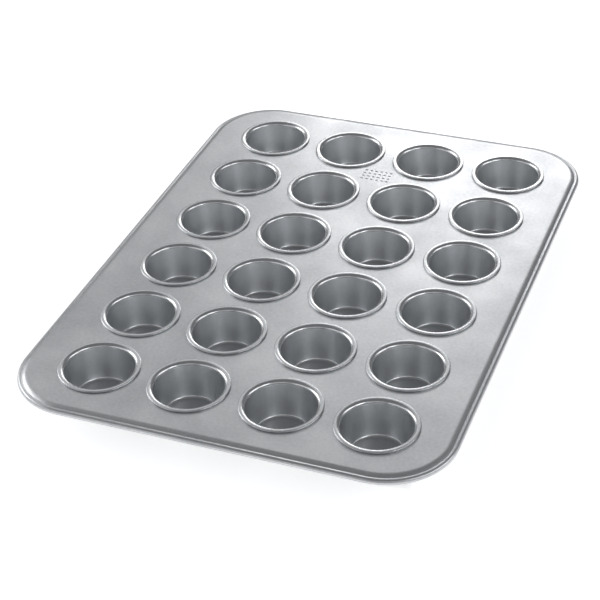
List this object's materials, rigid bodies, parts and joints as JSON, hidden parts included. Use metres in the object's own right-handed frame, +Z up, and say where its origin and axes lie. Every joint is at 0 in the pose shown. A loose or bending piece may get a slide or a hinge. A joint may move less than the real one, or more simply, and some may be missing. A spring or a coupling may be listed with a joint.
{
  "type": "muffin tin",
  "caption": "Commercial muffin tin: drawn steel cups lock-seamed into one flat sheet frame with rounded corners and a wired, rolled rim.",
  "frame": {"origin": "centre of the pan's outline in plan, on the plane of the cups' undersides that it stands on", "axes": "+X along the short side (4 cups), +Y along the long side (6 cups), +Z up out of the cups' mouths"},
  "size_m": [0.327, 0.4572, 0.0275],
  "materials": {
    "frame_sheet": "glazed aluminised steel sheet, fine mottled satin",
    "cup": "glazed aluminised steel, drawn, faint upright draw lines",
    "rim_wire": "galvanised mild steel wire, dull"
  },
  "bodies": {
    "root": {"pan_frame": "frame_sheet", "rim_wire": "rim_wire", "cup_r1_c1": "cup", "cup_r1_c2": "cup", "cup_r1_c3": "cup", "cup_r1_c4": "cup", "cup_r2_c1": "cup", "cup_r2_c2": "cup", "cup_r2_c3": "cup", "cup_r2_c4": "cup", "cup_r3_c1": "cup", "cup_r3_c2": "cup", "cup_r3_c3": "cup", "cup_r3_c4": "cup", "cup_r4_c1": "cup", "cup_r4_c2": "cup", "cup_r4_c3": "cup", "cup_r4_c4": "cup", "cup_r5_c1": "cup", "cup_r5_c2": "cup", "cup_r5_c3": "cup", "cup_r5_c4": "cup", "cup_r6_c1": "cup", "cup_r6_c2": "cup", "cup_r6_c3": "cup", "cup_r6_c4": "cup"}
  },
  "joints": []
}
